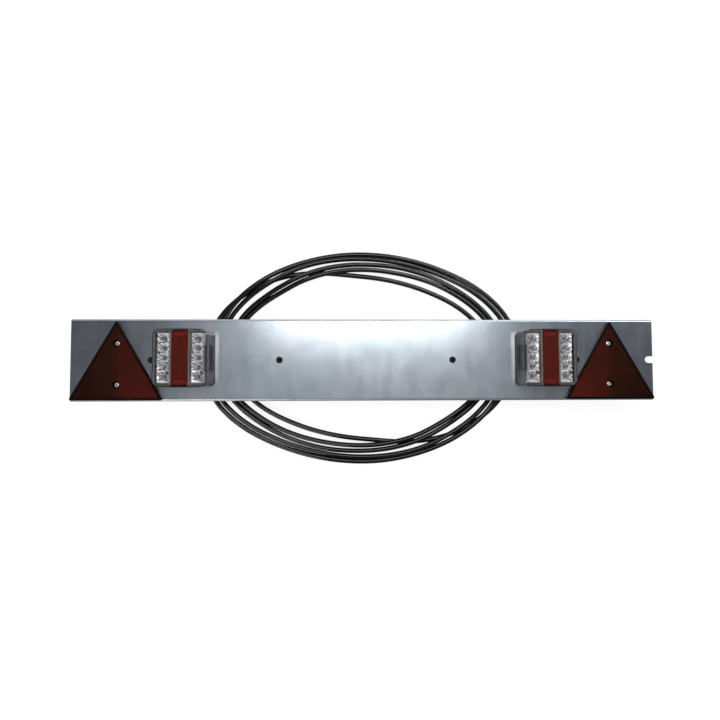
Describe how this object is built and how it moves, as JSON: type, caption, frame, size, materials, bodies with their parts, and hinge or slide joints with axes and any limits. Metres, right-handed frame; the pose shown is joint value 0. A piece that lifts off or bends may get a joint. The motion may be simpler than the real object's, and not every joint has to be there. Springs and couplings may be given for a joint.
{
  "type": "trailer lighting board",
  "caption": "Folded sheet steel board with clear LED rear lamps and red warning triangles, bolted or hung at a trailer's tail and fed by a coiled cable with a plug.",
  "frame": {"origin": "on the panel's front face, midway between the two fixing holes near the middle", "axes": "+X along the board towards its slotted end, +Y up the board towards the triangles' apexes, +Z out of the front face"},
  "size_m": [1, 0.384, 0.081],
  "materials": {
    "zinc_sheet": "satin zinc-coated sheet",
    "rivet_aluminium": "bright",
    "dark_steel": "dull",
    "plated_steel": "zinc plated",
    "cable_sheath": "smooth, slightly glossy",
    "plug_plastic": "moulded",
    "brass_pins": "bright",
    "black_rubber": "matt",
    "black_plastic": "moulded",
    "red_reflex": "prismatic, glossy front",
    "foam_rubber": "closed-cell foam",
    "circuit_board": "solder mask",
    "led_package": "moulded",
    "bright_reflector": "metallised",
    "clear_lens": "clear moulded, polished"
  },
  "bodies": {
    "root": {"board_panel": "zinc_sheet", "cable_coil": "cable_sheath", "cable_grommets": "black_rubber", "cable_lead": "cable_sheath", "cable_tail": "cable_sheath", "lamp_bolts": "plated_steel", "lamp_nuts": "plated_steel", "lamp_washers": "plated_steel", "left_indicator_reflector": "bright_reflector", "left_lamp_circuit_board": "circuit_board", "left_lamp_gasket": "foam_rubber", "left_lamp_housing": "black_plastic", "left_lamp_leds": "led_package", "left_lamp_lens": "clear_lens", "left_plate_lamp_shroud": "black_plastic", "left_reflector_lens": "red_reflex", "left_reflector_tray": "black_plastic", "left_reflex_strip": "red_reflex", "left_stop_reflector": "bright_reflector", "plug_body": "plug_plastic", "plug_gland_nut": "plug_plastic", "plug_insert": "plug_plastic", "plug_pins": "brass_pins", "reflector_rivets": "rivet_aluminium", "right_indicator_reflector": "bright_reflector", "right_lamp_circuit_board": "circuit_board", "right_lamp_gasket": "foam_rubber", "right_lamp_housing": "black_plastic", "right_lamp_leds": "led_package", "right_lamp_lens": "clear_lens", "right_plate_lamp_shroud": "black_plastic", "right_reflector_lens": "red_reflex", "right_reflector_tray": "black_plastic", "right_reflex_strip": "red_reflex", "right_stop_reflector": "bright_reflector", "rivet_mandrels": "dark_steel"}
  },
  "joints": []
}
